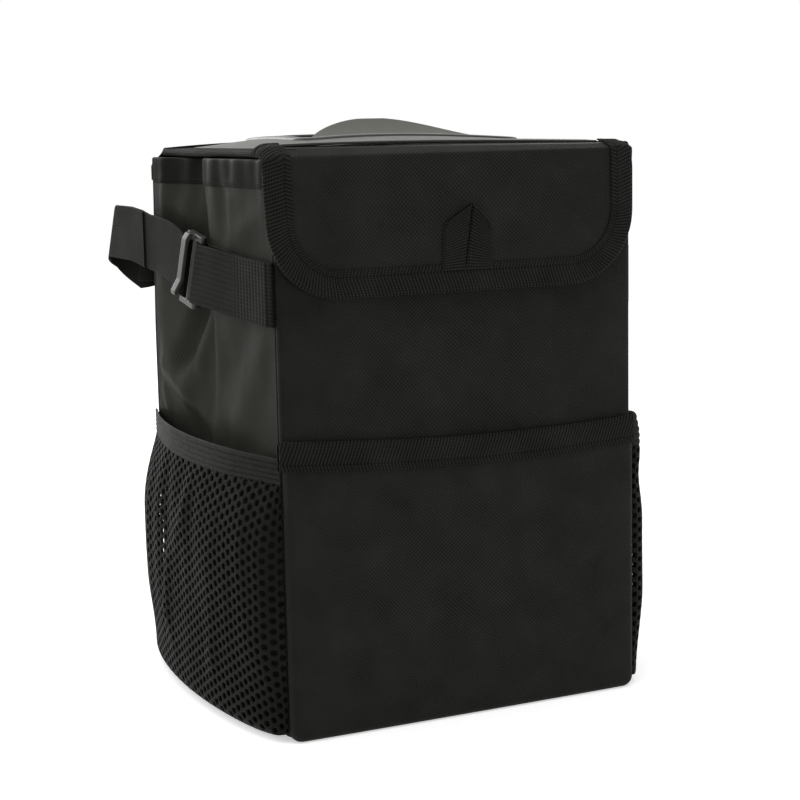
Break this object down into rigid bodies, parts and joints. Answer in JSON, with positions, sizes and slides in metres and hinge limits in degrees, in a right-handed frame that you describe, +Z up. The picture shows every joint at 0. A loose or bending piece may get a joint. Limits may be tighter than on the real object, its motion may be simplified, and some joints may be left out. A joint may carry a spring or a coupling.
{
  "type": "car trash bin",
  "caption": "Soft-sided standing car bin with board front, hinged lid with rubber-lipped mouth, front flap, net side pockets and a buckled strap.",
  "frame": {"origin": "middle of the base on the floor", "axes": "+Z up, -Y towards the front with the flap and flat pocket, +X to the right seen from the front"},
  "size_m": [0.2207, 0.2477, 0.2941],
  "materials": {
    "board_cloth": "fine plain-weave coated cloth over board, black, faint sheen",
    "side_cloth": "soft thin cloth, black with an olive sheen",
    "binding_tape": "ribbed woven tape, black, matte",
    "net": "open polyester net, black",
    "elastic": "ribbed elastic, black",
    "webbing": "woven webbing, black, slight sheen",
    "hook_and_loop": "hook and loop tape, black",
    "liner_film": "welded waterproof film, dark grey, soft gloss",
    "lip_rubber": "smooth soft rubber, olive grey",
    "fitting_plastic": "moulded plastic, black, semi-gloss"
  },
  "bodies": {
    "bin": {"front_panel": "board_cloth", "back_panel": "board_cloth", "base_panel": "board_cloth", "left_side_panel": "side_cloth", "right_side_panel": "side_cloth", "liner": "liner_film", "front_pocket": "board_cloth", "front_pocket_binding": "binding_tape", "left_net_pocket": "net", "right_net_pocket": "net", "left_net_band": "elastic", "right_net_band": "elastic", "loop_patch": "hook_and_loop", "hinge_tape": "binding_tape", "clip_webbing": "webbing", "strap_clip": "fitting_plastic", "left_strap": "webbing", "right_strap": "webbing", "buckle_socket": "fitting_plastic"},
    "lid": {"lid_panel": "board_cloth", "left_lid_binding": "binding_tape", "right_lid_binding": "binding_tape", "mouth_rim": "binding_tape"},
    "flap": {"flap_panel": "board_cloth", "flap_binding": "binding_tape", "pull_tab": "webbing", "hook_patch": "hook_and_loop"},
    "front_lip": {"front_lip": "lip_rubber"},
    "rear_lip": {"rear_lip": "lip_rubber"},
    "plug": {"buckle_plug": "fitting_plastic"}
  },
  "joints": [
    {"name": "lid_hinge", "type": "hinge", "parent": "bin", "child": "lid", "pos_m": [0, 0.0911, 0.2772], "axis": [-1, 0, 0], "range_deg": [0, 165]},
    {"name": "flap_hinge", "type": "hinge", "parent": "lid", "child": "flap", "pos_m": [0, -0.09545, 0.2772], "axis": [-1, 0, 0], "range_deg": [0, 150]},
    {"name": "front_lip_hinge", "type": "hinge", "parent": "lid", "child": "front_lip", "pos_m": [0, -0.0409, 0.2828], "axis": [-1, 0, 0], "range_deg": [-20, 70], "stiffness_Nm_per_rad": 0.08, "springref_deg": -1.15},
    {"name": "rear_lip_hinge", "type": "hinge", "parent": "lid", "child": "rear_lip", "pos_m": [0, 0.0409, 0.2824], "axis": [1, 0, 0], "range_deg": [-20, 70], "stiffness_Nm_per_rad": 0.08, "springref_deg": -1.15},
    {"name": "plug_release", "type": "slide", "parent": "bin", "child": "plug", "axis": [-1, 0, 0], "range_m": [0, 0.03], "deforming": ["left_strap"]}
  ]
}
